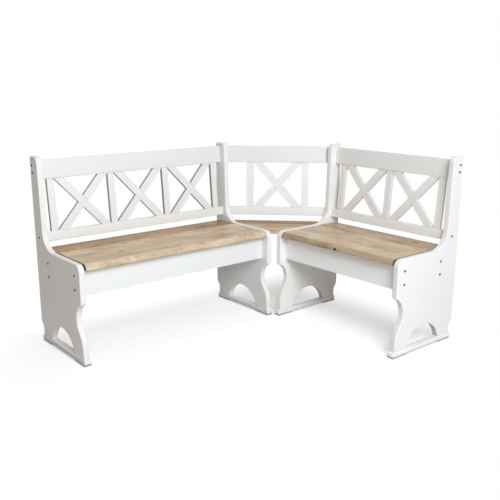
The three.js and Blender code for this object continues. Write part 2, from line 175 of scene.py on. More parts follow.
class Finish(Graph):
    """The graph of a material or of the world."""

    def object_place(self):
        return self.node("ShaderNodeTexCoord", output="Object")

    def reach(self, vector, direction):
        """How far a place or a normal reaches in a direction."""
        return self.vector("DOT_PRODUCT", vector, direction, output="Value")

    def step(self, value, low, high):
        settings = {"interpolation_type": "SMOOTHSTEP"}
        inputs = {"Value": value, "From Min": low, "From Max": high}
        return self.node("ShaderNodeMapRange", settings, inputs)

    def mix(self, factor, first, second, blend="MIX"):
        settings = {"data_type": "RGBA", "blend_type": blend}
        inputs = {0: factor, MIX_FIRST: first, MIX_SECOND: second}
        return self.node("ShaderNodeMix", settings, inputs, output=MIX_COLOUR)

    def tinted(self, colour, tint, share=1.0):
        """A colour times a tint, as far as the share says."""
        return self.mix(share, colour, (*tint, 1.0), blend="MULTIPLY")

    def noise(self, place, scale=1.0, detail=2.0):
        inputs = {"Vector": place, "Scale": scale, "Detail": detail}
        return self.node("ShaderNodeTexNoise", {}, inputs) - NOISE_MIDDLE

    def lines(self, value, detail):
        """Noise along a single value: irregular bands wherever the value changes."""
        settings = {"noise_dimensions": "1D"}
        inputs = {"W": value, "Scale": 1.0, "Detail": detail}
        return self.node("ShaderNodeTexNoise", settings, inputs) - NOISE_MIDDLE

    def stretched(self, place, along, across):
        return self.vector("MULTIPLY", place, (along, across, across))

    def grain_noise(self, place, ripples, detail=2.0):
        """Noise with one number of ripples in a metre along X, and another across it."""
        return self.noise(self.stretched(place, *ripples), detail=detail)

    def principled(self, **inputs):
        named = {name.replace("_", " "): value for name, value in inputs.items()}
        return self.node("ShaderNodeBsdfPrincipled", {}, named)

    def bump(self, height, distance, strength=1.0):
        inputs = {"Strength": strength, "Distance": distance, "Height": height}
        return self.node("ShaderNodeBump", {}, inputs)


# %% A new material and colours as they look
WHITE = (1.0, 1.0, 1.0, 1.0)


def new_finish(name):
    material = bpy.data.materials.new(name)
    material.use_nodes = True
    return material, Finish(material.node_tree)


def srgb(red, green, blue):
    """A picture's colour from 0 to 255, as the linear colour of a shader."""
    def linear(value):
        share = value / 255
        return share / 12.92 if share <= 0.04045 else ((share + 0.055) / 1.055) ** 2.4

    return (linear(red), linear(green), linear(blue), 1.0)


# %% [markdown]
# ## White studio
#
# The bench stands on white in a white room, and only its soft shadow shows the floor. Near the bench
# the floor is a plain diffuse surface, so that it keeps the shadow. What it lacks to pure white is
# added as a glow that only the camera and mirror-like rays see, so no extra light reaches the bench.
# For these rays the floor is also a little lighter than for the light that it throws back at the bench.
#
# Further out the glow takes over, which hides the horizon. It does so behind the bench too, from where
# the walls would stand, because the photo's shadow ends there. The world is made the same way: a soft
# dome for the light, and white for those rays.

# %% Floor
FLOOR_SIZE = 80.0
FLOOR_TONE = (0.70, 0.68, 0.655, 1.0)
FLOOR_SHOWN_TONE = (0.72, 0.715, 0.71, 1.0)
FLOOR_GLOW = 0.44
FLOOR_FADE = (0.9, 1.2)
WALL_FADE = (-0.18, 0.17)


def seen_directly(finish):
    """1 for camera rays and for rays that left a mirror or glass, 0 for soft bounces."""
    paths = finish.add("ShaderNodeLightPath").outputs
    names = ("Is Camera Ray", "Is Glossy Ray", "Is Transmission Ray")
    camera_ray, glossy_ray, clear_ray = (Output(finish, paths[name]) for name in names)
    return camera_ray.maths("MAXIMUM", glossy_ray).maths("MAXIMUM", clear_ray)


def whitened(finish):
    """0 on the floor near the bench, 1 far away and behind the lines of the two walls."""
    place = finish.object_place()
    faraway = finish.step(finish.vector("LENGTH", place, output="Value"), *FLOOR_FADE)
    parts = finish.add("ShaderNodeSeparateXYZ", {}, {"Vector": place}).outputs
    before_x_wall = cad_high.x - Output(finish, parts["X"])
    before_y_wall = cad_high.y - Output(finish, parts["Y"])
    behind = 1 - finish.step(before_x_wall.maths("MINIMUM", before_y_wall), *WALL_FADE)
    return faraway.maths("MAXIMUM", behind)


def floor_finish():
    material, finish = new_finish("white_floor")
    paper = finish.node("ShaderNodeBsdfDiffuse", {}, {"Color": FLOOR_TONE})
    shown_paper = finish.node("ShaderNodeBsdfDiffuse", {}, {"Color": FLOOR_SHOWN_TONE})
    glow = finish.node("ShaderNodeEmission", {}, {"Color": WHITE, "Strength": FLOOR_GLOW})
    near = finish.node("ShaderNodeAddShader", {}, {0: shown_paper, 1: glow})
    white = finish.node("ShaderNodeEmission", {}, {"Color": WHITE, "Strength": 1.0})
    shown = finish.node("ShaderNodeMixShader", {}, {0: whitened(finish), 1: near, 2: white})
    result = finish.node("ShaderNodeMixShader", {}, {0: seen_directly(finish), 1: paper, 2: shown})
    finish.add("ShaderNodeOutputMaterial", {}, {"Surface": result})
    return material


def make_floor():
    mesh = bpy.data.meshes.new("floor")
    half = FLOOR_SIZE / 2
    corners = [(-half, -half, 0), (half, -half, 0), (half, half, 0), (-half, half, 0)]
    mesh.from_pydata(corners, [], [(0, 1, 2, 3)])
    mesh.materials.append(floor_finish())
    floor = bpy.data.objects.new("floor", mesh)
    bpy.context.scene.collection.objects.link(floor)
    floor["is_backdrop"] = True


make_floor()
print("floor", FLOOR_SIZE, "m wide, glow", FLOOR_GLOW)

# %% World
DOME_COLOUR = (1.0, 0.90, 0.815, 1.0)
DOME_STRENGTH = 0.255


def make_world():
    world = bpy.data.worlds.new("studio")
    bpy.context.scene.world = world
    world.use_nodes = True
    finish = Finish(world.node_tree)
    dome = finish.node("ShaderNodeBackground", {}, {"Color": DOME_COLOUR, "Strength": DOME_STRENGTH})
    white = finish.node("ShaderNodeBackground", {}, {"Color": WHITE, "Strength": 1.0})
    result = finish.node("ShaderNodeMixShader", {}, {0: seen_directly(finish), 1: dome, 2: white})
    finish.add("ShaderNodeOutputWorld", {}, {"Surface": result})


make_world()
print("dome", DOME_STRENGTH)

# %% [markdown]
# ## Lamps
#
# One large soft box stands high in front of the long bench and a little to its left. It lights what
# faces the room, and only grazes the outer side of the left panel, which the dome and the floor light.
# A sun lamp would cast shadows with hard edges. A large lamp close by gives soft ones that fade with
# distance, as in the photo. A weak second box hangs overhead and lifts the seats a little.

# %% Soft boxes
def soft_box(name, place, target, size, power, colour):
    data = bpy.data.lights.new(name, "AREA")
    data.shape = "SQUARE"
    data.size = size
    data.energy = power
    data.color = colour
    lamp = bpy.data.objects.new(name, data)
    lamp.location = place
    lamp.rotation_euler = (Vector(target) - Vector(place)).to_track_quat("-Z", "Y").to_euler()
    bpy.context.scene.collection.objects.link(lamp)
    print(name, "at", place, "with", power, "W")


soft_box(
    "key_box", place=(-1.2, -3.0, 2.5), target=(0.1, 0.2, 0.4),
    size=1.8, power=138.0, colour=(0.89, 0.955, 1.0),
)
soft_box(
    "overhead_box", place=(0.0, 0.0, 3.2), target=(0.0, 0.0, 0.0),
    size=2.6, power=8.0, colour=(1.0, 0.97, 0.92),
)

# %% [markdown]
# ## Softened arrises
#
# An arris is the edge between two faces of a board, and a maker takes its sharpness off before
# painting. The frame's boards have these roundings, but they come as loose triangles, so they shade
# flat. Their meshes could be joined and edited one by one. A modifier leaves each mesh as it is and
# works on what is shown: it joins the triangles and shades them smooth, except across creases that are
# sharper than a rounded edge has. Weighted normals then keep the flat faces flat right up to their
# roundings.

# %% A Geometry Nodes tree with named inputs
def geometry_tree(name, sockets):
    """A tree with a geometry in and out and the named inputs, and the outputs of its group input."""
    tree = bpy.data.node_groups.new(name, "GeometryNodeTree")
    tree.interface.new_socket("Geometry", in_out="INPUT", socket_type="NodeSocketGeometry")
    tree.interface.new_socket("Geometry", in_out="OUTPUT", socket_type="NodeSocketGeometry")
    for socket, kind in sockets.items():
        tree.interface.new_socket(socket, in_out="INPUT", socket_type=f"NodeSocket{kind}")
    graph = Graph(tree)
    given = graph.add("NodeGroupInput").outputs
    return graph, {socket.name: Output(graph, socket) for socket in given if socket.name}


def add_modifier(piece, tree, values):
    """Puts a tree on a piece, with its inputs set by their identifiers."""
    modifier = piece.modifiers.new(tree.name, "NODES")
    modifier.node_group = tree
    identifiers = {
        item.name: item.identifier
        for item in tree.interface.items_tree
        if item.item_type == "SOCKET" and item.in_out == "INPUT"
    }
    for name, value in values.items():
        modifier[identifiers[name]] = value


# %% The tree that softens a board
JOIN_DISTANCE = 0.00001
CREASE_ANGLE = math.radians(50)


def easing_tree():
    graph, given = geometry_tree("softened_arrises", {"Join Distance": "Float", "Crease": "Float"})
    joined = graph.node("GeometryNodeMergeByDistance", {}, {
        "Geometry": given["Geometry"],
        "Distance": given["Join Distance"],
    })
    angle = graph.node("GeometryNodeInputMeshEdgeAngle", output="Unsigned Angle")
    sharp = graph.node("FunctionNodeCompare", {"operation": "GREATER_THAN"}, {
        0: angle,
        1: given["Crease"],
    })
    smooth = graph.node("GeometryNodeSetShadeSmooth", {"domain": "FACE"}, {
        "Geometry": joined,
        "Shade Smooth": True,
    })
    creased = graph.node("GeometryNodeSetShadeSmooth", {"domain": "EDGE"}, {
        "Geometry": smooth,
        "Selection": sharp,
        "Shade Smooth": False,
    })
    graph.add("NodeGroupOutput", {}, {"Geometry": creased})
    return graph.tree


softened = easing_tree()
for node in nodes.values():
    add_modifier(node, softened, {"Join Distance": JOIN_DISTANCE, "Crease": CREASE_ANGLE})
    weighted = node.modifiers.new("flat_faces", "WEIGHTED_NORMAL")
    weighted.keep_sharp = True
print("softened", len(nodes), "boards and hinge leaves")

# %% [markdown]
# ## Which way the grain runs
#
# A board is cut with the grain along its length, and both the paint's faint relief and the oak's figure
# have to follow it. The directions could be typed in, but then they would be wrong as soon as a board
# moves. Most straight edges of a board run along its length too, so the direction that has the greatest
# total length of edges is the grain. An edge can be read from either end, so each one is first turned
# to point forward: towards +X, or, where it runs straight across, towards +Y or up.

# %% Grain direction of a board
UPRIGHT = Vector((0, 0, 1))
NEARLY = 0.99
FORWARD = Vector((1.0, 0.01, 0.0001))
DIRECTION_DIGITS = 2


def grain_of(node):
    """The direction that most of a board's edges run in, as a tuple."""
    mesh = node.data
    totals = {}
    for edge in mesh.edges:
        first, second = (mesh.vertices[index].co for index in edge.vertices)
        run = second - first
        if run.length < JOIN_DISTANCE:
            continue
        direction = run.normalized()
        if direction.dot(FORWARD) < 0:
            direction.negate()
        if abs(direction.z) > NEARLY:
            direction = UPRIGHT
        # Adding 0 turns -0.0 into 0.0, so that both count as one direction.
        key = tuple(round(value, DIRECTION_DIGITS) + 0.0 for value in direction)
        totals[key] = totals.get(key, 0.0) + run.length
    return max(totals, key=totals.get)


def turned_place(finish, direction):
    """Object coordinates turned so that X runs along the grain, and the turn itself."""
    turn = Vector(direction).rotation_difference(Vector((1, 0, 0)))
    inputs = {"Vector": finish.object_place(), "Rotation": turn.to_euler()}
    return finish.node("ShaderNodeMapping", {}, inputs), turn


grains = {name: grain_of(node) for name, node in nodes.items()}
print("grain directions", sorted(set(grains.values())))

# %% [markdown]
# ## White paint
#
# The boards are pine under a sprayed satin paint. One plain white would do for such paint, but it would
# look like plastic. What tells them apart is small: the soft wood between the growth lines sinks a
# little and leaves a faint relief along each board, the sheen wanders, and the white has slightly
# warmer patches. Four noises make all of this, and two of them are drawn out along the grain.
#
# A few boards are also lighter or darker as a whole, and this is painted light and shade. A tint, which
# is a share of the plain white, lightens or darkens each of them to stand in for the light that falls on
# it, and a second tint paints shade on the sides that face -X, away from the lamps. Two more places get
# painted shade: a thin line along the foot of what stands on the floor, and the hollow of the short
# bench's arches.

# %% Where shade is painted on the paint
TOWARDS_LEFT = (-1.0, 0.0, 0.0)
TOWARDS_RIGHT = (1.0, 0.0, 0.0)
SIDE_FACING = (0.3, 0.75)
# A painted contact shadow: a thin dark line along the foot of boards that stand on the floor.
GROUND_SHADOW_LINE = (0.0095, 0.0105)
GROUND_SHADOW_TINT = (0.45, 0.45, 0.45)
# Painted shade in the hollow of the short panels' arches:
ARCH_SETBACK = 0.15
ARCH_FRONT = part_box("short_outer_panel")[0].x + ARCH_SETBACK
ARCH_TOP = 0.20
ARCH_FADE = 0.01
ARCH_FACING = (0.2, 0.5)
ARCH_SHADE_TINT = (0.66, 0.66, 0.67)


def facing_left(finish, low, high):
    """1 on what faces -X, fading to 0 as it turns away."""
    facing = finish.node("ShaderNodeNewGeometry", output="True Normal")
    return finish.step(finish.reach(facing, TOWARDS_LEFT), low, high)


def shadow_at_foot(finish):
    """Where a contact shadow is painted: 1 along the lowest few millimetres of a board on the floor."""
    return 1 - finish.step(finish.reach(finish.object_place(), UPRIGHT), *GROUND_SHADOW_LINE)


def shade_in_arch(finish):
    """Where shade is painted: 1 inside the arch of a short panel, where it faces -X."""
    place = finish.object_place()
    under = 1 - finish.step(finish.reach(place, UPRIGHT), ARCH_TOP - ARCH_FADE, ARCH_TOP)
    behind = finish.step(finish.reach(place, TOWARDS_RIGHT), ARCH_FRONT, ARCH_FRONT + ARCH_FADE)
    return under * facing_left(finish, *ARCH_FACING) * behind


# %% White paint
PAINT_COOL = (0.855, 0.86, 0.862, 1.0)
PAINT_WARM = (0.85, 0.842, 0.828, 1.0)
PAINT_WARMTH = (-0.3, 0.4)
PAINT_PATCHES = 2.5
PAINT_GROWTH = (3.0, 95.0)
PAINT_FIBRES = (25.0, 900.0)
PAINT_SPRAY = 700.0
PAINT_ROUGHNESS = 0.42
PAINT_SHEEN = 0.45
PAINT_RELIEF = 0.00012


def white_paint(direction, tint, side_shade, painted_shade_place):
    """Paint for one grain, one pair of tints of painted light and shade, and one place of painted shade.
    """
    material, finish = new_finish("white_paint")
    place, _ = turned_place(finish, direction)
    patches = finish.noise(place, scale=PAINT_PATCHES, detail=3.0)
    growth = finish.grain_noise(place, PAINT_GROWTH, detail=3.0)
    fibres = finish.grain_noise(place, PAINT_FIBRES)
    spray = finish.noise(place, scale=PAINT_SPRAY, detail=1.0)
    warmth = finish.step(patches + growth * 0.4, *PAINT_WARMTH)
    colour = finish.tinted(finish.mix(warmth, PAINT_COOL, PAINT_WARM), tint)
    # Painted shade on the sides that face -X, away from the lamps.
    if side_shade:
        colour = finish.tinted(colour, side_shade, share=facing_left(finish, *SIDE_FACING))
    # Painted contact shadow along the foot of a board that stands on the floor.
    if painted_shade_place == "foot":
        colour = finish.tinted(colour, GROUND_SHADOW_TINT, share=shadow_at_foot(finish))
    # Painted shade inside the arches of the short panels.
    if painted_shade_place == "arch":
        colour = finish.tinted(colour, ARCH_SHADE_TINT, share=shade_in_arch(finish))
    height = growth * 0.7 + fibres * 0.2 + spray * 0.1
    shader = finish.principled(
        Base_Color=colour,
        Roughness=PAINT_ROUGHNESS + growth * 0.10 + patches * 0.14,
        Specular_IOR_Level=PAINT_SHEEN,
        Normal=finish.bump(height, PAINT_RELIEF, strength=0.6),
    )
    finish.add("ShaderNodeOutputMaterial", {}, {"Surface": shader})
    return material


# %% [markdown]
# ## Oak
#
# The seats are glued up from staves and finished with a clear satin lacquer. A picture of wood could be
# wrapped round them, but it would repeat, and its grain would stop at every edge. A pattern that is
# worked out in space runs through the whole board.
#
# The figure of flat-sawn oak is a pattern of long arches: the saw cuts through growth rings at a shallow
# angle. A cheap way to draw them is a noise stretched along the board whose contour lines are used as
# the rings: smooth hills have closed, pointed contours, just like the arches on a board. A knot pushes
# those contours aside and is dark in its middle. Bands, streaks and fibres run with the grain, and
# pores are fine dark dashes.
#
# What changes across a seat board is written as a table of its staves: the depth at which a stave
# begins, measured from the wall into the room, how light it is and how warm.

# %% Staves and knots
GLUE_LINE = 0.0015
STAVE_SHIFT_ALONG = 3.7
STAVE_SHIFT_ACROSS = 1.9
KNOT_LENGTHENING = 0.55
KNOT_PUSH = (0.3, 3.0)
KNOT_CORE = (0.45, 1.1)


def stave_tones(finish, depth, staves):
    """How light and how warm each stave is, and its number, as steps across the board."""
    _, tone, warmth = staves[0]
    number = 0.0
    for before, after in zip(staves, staves[1:]):
        beyond = finish.step(depth, after[0] - GLUE_LINE, after[0] + GLUE_LINE)
        tone = beyond * (after[1] - before[1]) + tone
        warmth = beyond * (after[2] - before[2]) + warmth
        number = beyond + number
    return tone, warmth, number


def stave_place(finish, place, number, seed):
    """A place moved by a different amount for each stave, so that no two have the same figure."""
    shift = finish.node("ShaderNodeCombineXYZ", {}, {
        "X": number * STAVE_SHIFT_ALONG + seed,
        "Z": number * STAVE_SHIFT_ACROSS,
    })
    return finish.vector("ADD", place, shift)


def knot_field(finish, place, turn, knots):
    """How much the rings are pushed aside by knots, and how deep in a knot a place is."""
    push, core = 0.0, 0.0
    for x, y, z, radius, darkness in knots:
        offset = finish.vector("SUBTRACT", place, turn @ Vector((x, y, z)))
        offset = finish.stretched(offset, KNOT_LENGTHENING / radius, 1.0 / radius)
        away = finish.vector("LENGTH", offset, output="Value")
        push = (1 - finish.step(away, *KNOT_PUSH)) * darkness + push
        core = (1 - finish.step(away, *KNOT_CORE)) * darkness + core
    return push, core


# %% The figure of oak
OAK_HILLS = (2.0, 10.0)
OAK_BANDS = (2.6, 20.0)
OAK_STREAKS = (4.5, 105.0)
OAK_FIBRES = (9.0, 330.0)
OAK_PORES = (45.0, 1500.0)
OAK_PATCHES = 5.0
RINGS_ON_HILLS = 22.0
RINGS_AT_KNOT = 2.0
PORES_OFF_RINGS = 0.25
PORE_RANGE = (0.13, 0.30)


def oak_figure(finish, place, push):
    """Rings, fibres, pores and patches, and the figure that they make with bands and streaks."""
    hills = finish.grain_noise(place, OAK_HILLS, detail=1.5)
    rings = finish.lines(hills * RINGS_ON_HILLS + push * RINGS_AT_KNOT, detail=3.0)
    bands = finish.grain_noise(place, OAK_BANDS, detail=3.0)
    streaks = finish.grain_noise(place, OAK_STREAKS)
    fibres = finish.grain_noise(place, OAK_FIBRES, detail=3.0)
    patches = finish.noise(place, scale=OAK_PATCHES, detail=3.0)
    dashes = finish.grain_noise(place, OAK_PORES, detail=1.0)
    pores = finish.step(dashes - rings * PORES_OFF_RINGS, *PORE_RANGE)
    figure = rings * 0.34 + bands * 0.45 + streaks * 0.5 + fibres * 0.3 + patches * 0.7
    return rings, fibres, pores, patches, figure


# %% [markdown]
# A seat board isn't the same all over. An end that is cut square to the grain is dark, because end
# grain drinks the finish, and its colour is darkened further as painted shade for the narrow gap beside
# the panel. The rounded front of the long lid cuts the fibres open and looks speckled. A fixed board has
# a painted shadow line along the top of its rear edge.

# %% Edges of a seat board
WALL_CORNER = (cad_high.x, cad_high.y, 0.0)
END_GRAIN_DEPTHS = (0.0004, 0.0016)
OAK_SPECKLE = (48.0, 120.0)
SPECKLE_SHARE = 0.55
NOSE_FADE = 0.006
# Where the painted shadow line lies at a fixed board's rear:
REAR_SHADOW_DEPTHS = (0.006, 0.010)
REAR_SHADOW_DROPS = (0.002, 0.004)


def sawn_ends(finish, board, place):
    """1 on both ends of a board that is cut square to its grain."""
    direction = Vector(grains[board])
    if max(abs(value) for value in direction) < NEARLY:
        return 0.0
    low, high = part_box(board)
    half = abs((high - low).dot(direction)) / 2
    from_middle = finish.vector("SUBTRACT", place, (low + high) / 2)
    along = finish.reach(from_middle, direction).maths("ABSOLUTE")
    shallow, deep = END_GRAIN_DEPTHS
    return finish.step(along, half - deep, half - shallow)


def nose_speckle(finish, place, depth, nose):
    """What the figure gains on a rounded front, from the depth at which the nose begins."""
    on_nose = finish.step(depth, nose - NOSE_FADE, nose + NOSE_FADE)
    return finish.grain_noise(place, OAK_SPECKLE) * on_nose * SPECKLE_SHARE


def rear_shadow_line(finish, board, place, depth, into_room):
    """Where a shadow line is painted: 1 along the top of a board's rear edge."""
    corners = [corner.co - Vector(WALL_CORNER) for corner in nodes[board].data.vertices]
    rear = min(corner.dot(Vector(into_room)) for corner in corners)
    near, far = REAR_SHADOW_DEPTHS
    at_rear = 1 - finish.step(depth, rear + near, rear + far)
    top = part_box(board)[1].z
    shallow, deep = REAR_SHADOW_DROPS
    return at_rear * finish.step(finish.reach(place, UPRIGHT), top - deep, top - shallow)


# %% Colours of oak
OAK_LIGHT = srgb(214, 194, 166)
OAK_MIDDLE = srgb(190, 165, 133)
OAK_DARK = srgb(150, 120, 86)
OAK_PORE = srgb(96, 72, 48)
KNOT_BROWN = srgb(60, 42, 28)
# End grain darkened into painted shade; the same colour paints the shadow line at a fixed board's rear.
END_GRAIN_AND_SHADE = srgb(62, 44, 30)
OAK_CONTRAST = 0.42
DARK_TO_MIDDLE = (0.0, 0.55)
MIDDLE_TO_LIGHT = (0.45, 1.0)
PORE_SHARE = 0.45
END_GRAIN_SHARE = 0.8


def oak_colour(finish, figure, pores, core, ends):
    """Dark to light along the figure, with the pores, the knots and the sawn ends, partly painted shade.
    """
    lightness = finish.step(figure, -OAK_CONTRAST, OAK_CONTRAST)
    colour = finish.mix(finish.step(lightness, *DARK_TO_MIDDLE), OAK_DARK, OAK_MIDDLE)
    colour = finish.mix(finish.step(lightness, *MIDDLE_TO_LIGHT), colour, OAK_LIGHT)
    colour = finish.mix(pores * PORE_SHARE, colour, OAK_PORE)
    colour = finish.mix(core, colour, KNOT_BROWN)
    return finish.mix(ends * END_GRAIN_SHARE, colour, END_GRAIN_AND_SHADE)


def stave_tint(finish, tone, warmth):
    """A colour to multiply by: warmth takes some green away and more blue."""
    inputs = {"Red": tone, "Green": tone - warmth * 0.4, "Blue": tone - warmth}
    return finish.node("ShaderNodeCombineColor", {}, inputs)


# %% Oak finish
OAK_ROUGHNESS = 0.26
OAK_RELIEF = 0.00015
LID_SHEEN = 0.34
FIXED_SHEEN = 0.04


def oak(board, into_room, staves, seed, knots=(), nose=None, fixed=False):
    """Oak for one seat board. Depths are measured from the wall behind it."""
    material, finish = new_finish(f"oak_{board.replace('seat_', '')}")
    place = finish.object_place()
    depth = finish.reach(finish.vector("SUBTRACT", place, WALL_CORNER), into_room)
    tone, warmth, number = stave_tones(finish, depth, staves)
    turned, turn = turned_place(finish, grains[board])
    push, core = knot_field(finish, turned, turn, knots)
    moved = stave_place(finish, turned, number, seed)
    rings, fibres, pores, patches, figure = oak_figure(finish, moved, push)
    if nose is not None:
        figure = figure + nose_speckle(finish, moved, depth, nose)
    colour = oak_colour(finish, figure, pores, core, sawn_ends(finish, board, place))
    # A painted shadow line along the top of a fixed board's rear edge.
    if fixed:
        colour = finish.mix(rear_shadow_line(finish, board, place, depth, into_room), colour, END_GRAIN_AND_SHADE)
    height = fibres * 0.3 - pores * 0.6 + rings * 0.25
    shader = finish.principled(
        Base_Color=finish.mix(1.0, colour, stave_tint(finish, tone, warmth), blend="MULTIPLY"),
        Roughness=OAK_ROUGHNESS + fibres * 0.14 + pores * 0.15 + patches * 0.1,
        Specular_IOR_Level=FIXED_SHEEN if fixed else LID_SHEEN,
        Normal=finish.bump(height, OAK_RELIEF, strength=0.7),
    )
    finish.add("ShaderNodeOutputMaterial", {}, {"Surface": shader})
    return material


# %% [markdown]
# ## Dark bronze and black steel
#
# The hinges are bronzed and the bolts blackened. A single dark colour would make them look cut out of
# paper at this size. Both are worn a little unevenly by handling, which shows mostly as patches of
# different sheen, so a cloudy noise changes colour and roughness, and a fine brushed one roughness and
# relief.

# %% Metal finishes
METAL_CLOUDS = 160.0
METAL_BRUSHING = (90.0, 900.0)
METAL_CONTRAST = 0.2
METAL_RELIEF = 0.00002


def dark_metal(name, dark, light, roughness):
    material, finish = new_finish(name)
    place = finish.object_place()
    clouds = finish.noise(place, scale=METAL_CLOUDS, detail=3.0)
    brushed = finish.grain_noise(place, METAL_BRUSHING)
    shader = finish.principled(
        Base_Color=finish.mix(finish.step(clouds, -METAL_CONTRAST, METAL_CONTRAST), dark, light),
        Metallic=1.0,
        Roughness=roughness + clouds * 0.22 + brushed * 0.12,
        Normal=finish.bump(brushed, METAL_RELIEF),
    )
    finish.add("ShaderNodeOutputMaterial", {}, {"Surface": shader})
    return material


bronze = dark_metal(
    "dark_bronze", dark=(0.10, 0.075, 0.05, 1.0), light=(0.20, 0.15, 0.10, 1.0), roughness=0.38,
)
black_steel = dark_metal(
    "black_steel", dark=(0.012, 0.012, 0.013, 1.0), light=(0.03, 0.03, 0.032, 1.0), roughness=0.42,
)
print("metals", bronze.name, "and", black_steel.name)

# %% [markdown]
# ## The five seat boards
#
# Each has its own table of staves, as depth, tone and warmth, and its own knots, as a place, a radius
# and how dark the knot is. The knots lie where the photo has them: all are in the seats' tops but one,
# which is in the short lid's front edge. The long lid's last stave is its rounded front.

# %% Finishes of the seats
SEAT_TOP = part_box("long_seat_lid")[1].z
INTO_ROOM_LONG = (0.0, -1.0, 0.0)
INTO_ROOM_SHORT = (-1.0, 0.0, 0.0)
INTO_ROOM_CORNER = (-math.sqrt(0.5), -math.sqrt(0.5), 0.0)
LONG_NOSE = 0.405

# The stave tones are partly the boards' own and partly painted light and shade: the fixed boards at the
# rear are darker where the backs shade them, the long lid's and the corner seat's fronts are lighter
# where the lamp lights them, and the short lid's front, which faces -X, is darker.
seat_finishes = {
    "long_seat_strip": oak(
        "long_seat_strip", INTO_ROOM_LONG, seed=1.3, fixed=True,
        staves=[(0.0, 0.83, 0.33)],
        knots=[(0.118, 0.5244, SEAT_TOP, 0.014, 0.6)],
    ),
    "long_seat_lid": oak(
        "long_seat_lid", INTO_ROOM_LONG, seed=4.1, nose=LONG_NOSE,
        staves=[(0.0, 1.20, 0.10), (0.252, 1.15, 0.12), (0.338, 1.08, 0.15), (LONG_NOSE, 1.23, -0.22)],
        knots=[
            (-0.4079, 0.4415, SEAT_TOP, 0.010, 0.9),
            (-0.5005, 0.3882, SEAT_TOP, 0.008, 0.6),
            (-0.5010, 0.3088, SEAT_TOP, 0.012, 0.8),
            (-0.5618, 0.4146, SEAT_TOP, 0.009, 0.5),
        ],
    ),
    "short_seat_strip": oak(
        "short_seat_strip", INTO_ROOM_SHORT, seed=7.7, fixed=True,
        staves=[(0.0, 0.91, 0.09)],
        knots=[(0.6943, -0.4428, SEAT_TOP, 0.010, 2.0)],
    ),
    "short_seat_lid": oak(
        "short_seat_lid", INTO_ROOM_SHORT, seed=9.2,
        staves=[(0.0, 1.17, 0.0), (0.257, 1.25, 0.02), (0.345, 1.24, 0.04), (0.418, 0.88, -0.02)],
        knots=[(0.5439, -0.2154, SEAT_TOP, 0.014, 0.35), (0.3415, -0.2406, 0.4388, 0.0065, 2.6)],
    ),
    "corner_seat": oak(
        "corner_seat", INTO_ROOM_CORNER, seed=2.6, fixed=True,
        staves=[(0.0, 0.75, 0.42), (0.454, 1.26, 0.14), (0.529, 1.38, -0.2)],
    ),
}
print("oak for", len(seat_finishes), "boards")

# %% [markdown]
# ## The painted boards
#
# A painted board's finish depends on its grain, its tints of painted light and shade and its place of
# painted shade. Boards that agree in all of these share one paint, so the file makes only as many
# paints as it needs.

# %% Tints of the painted boards: painted light and shade
PLAIN = (1.0, 1.0, 1.0)
# Each tint lightens or darkens a whole board as more or less light falls on it: painted light and shade.
BOARD_LIGHT_AND_SHADE_TINTS = {
    "long_top_rail": (0.95, 0.94, 0.945),
    "corner_top_rail": (0.91, 0.90, 0.91),
    "short_top_rail": (0.92, 0.905, 0.895),
    "short_apron": (1.06, 1.06, 1.06),
    "long_outer_panel": (1.02, 1.0, 0.985),
    "short_outer_panel": (1.05, 1.04, 1.05),
    "short_outer_base_rail": (1.08, 1.06, 1.06),
    "short_inner_panel": (1.06, 1.035, 1.025),
    "long_inner_panel": (1.07, 1.04, 1.03),
}
# Painted shade on each bench's lattice as a whole.
LATTICE_SHADE_TINTS = {
    "long": (0.96, 0.955, 0.96),
    "corner": (0.96, 0.96, 0.96),
    "short": (0.94, 0.925, 0.915),
}
# Painted shade on the sides that face -X, away from the lamps; the long lattice's are the darkest.
LONG_LATTICE_SIDE_SHADE = (0.40, 0.385, 0.375)
SIDE_SHADE_TINTS = {
    "long_outer_panel": (0.935, 0.905, 0.89),
    "long_inner_panel": (0.845, 0.86, 0.86),
    "short_outer_panel": (0.86, 0.845, 0.83),
    "short_inner_panel": (0.94, 0.935, 0.93),
    "long_outer_base_rail": (0.74, 0.72, 0.69),
    "long_inner_base_rail": (0.80, 0.79, 0.78),
}


def paint_facts(name):
    """What a board's paint depends on: its grain, its two tints of painted light and shade, its shaded
    place.
    """
    bench = name.split("_")[0]
    if "brace" in name or "post" in name:
        side_shade = LONG_LATTICE_SIDE_SHADE if bench == "long" else None
        return grains[name], LATTICE_SHADE_TINTS[bench], side_shade, None
    painted_shade_place = None
    if "base_rail" in name:
        painted_shade_place = "foot"
    elif bench == "short" and "panel" in name:
        painted_shade_place = "arch"
    return grains[name], BOARD_LIGHT_AND_SHADE_TINTS.get(name, PLAIN), SIDE_SHADE_TINTS.get(name), painted_shade_place


# %% Assign the finishes
def set_finish(piece, material):
    piece.data.materials.clear()
    piece.data.materials.append(material)


paints = {}
for name, node in nodes.items():
    if name in seat_finishes:
        set_finish(node, seat_finishes[name])
    elif "hinge" in name:
        set_finish(node, bronze)
    else:
        facts = paint_facts(name)
        if facts not in paints:
            paints[facts] = white_paint(*facts)
        set_finish(node, paints[facts])
print("paints", len(paints))

# %% [markdown]
# ## Bolts and screws
#
# Each panel is bolted to the rails and box boards through seven recesses. The bolts have a round head
# with a hexagon socket, which sits on the panel's face and covers its recess. Heads could be modelled
# and placed by hand, but 58 of them are quicker and truer by rule. A tree models one head, bores its
# drive with a boolean, and sets a copy on every point of a mesh. Each point carries the direction its
# head faces. The tree ends by turning the copies into real geometry, and the result is taken as a plain
# mesh.
#
# The places come from the panels' own meshes: a triangle that faces out through a panel's thickness but
# lies below its face is the bottom of a recess.

# %% Places of the bolts
RECESS_REACH = 0.016
FACE_MARGIN = 0.0005


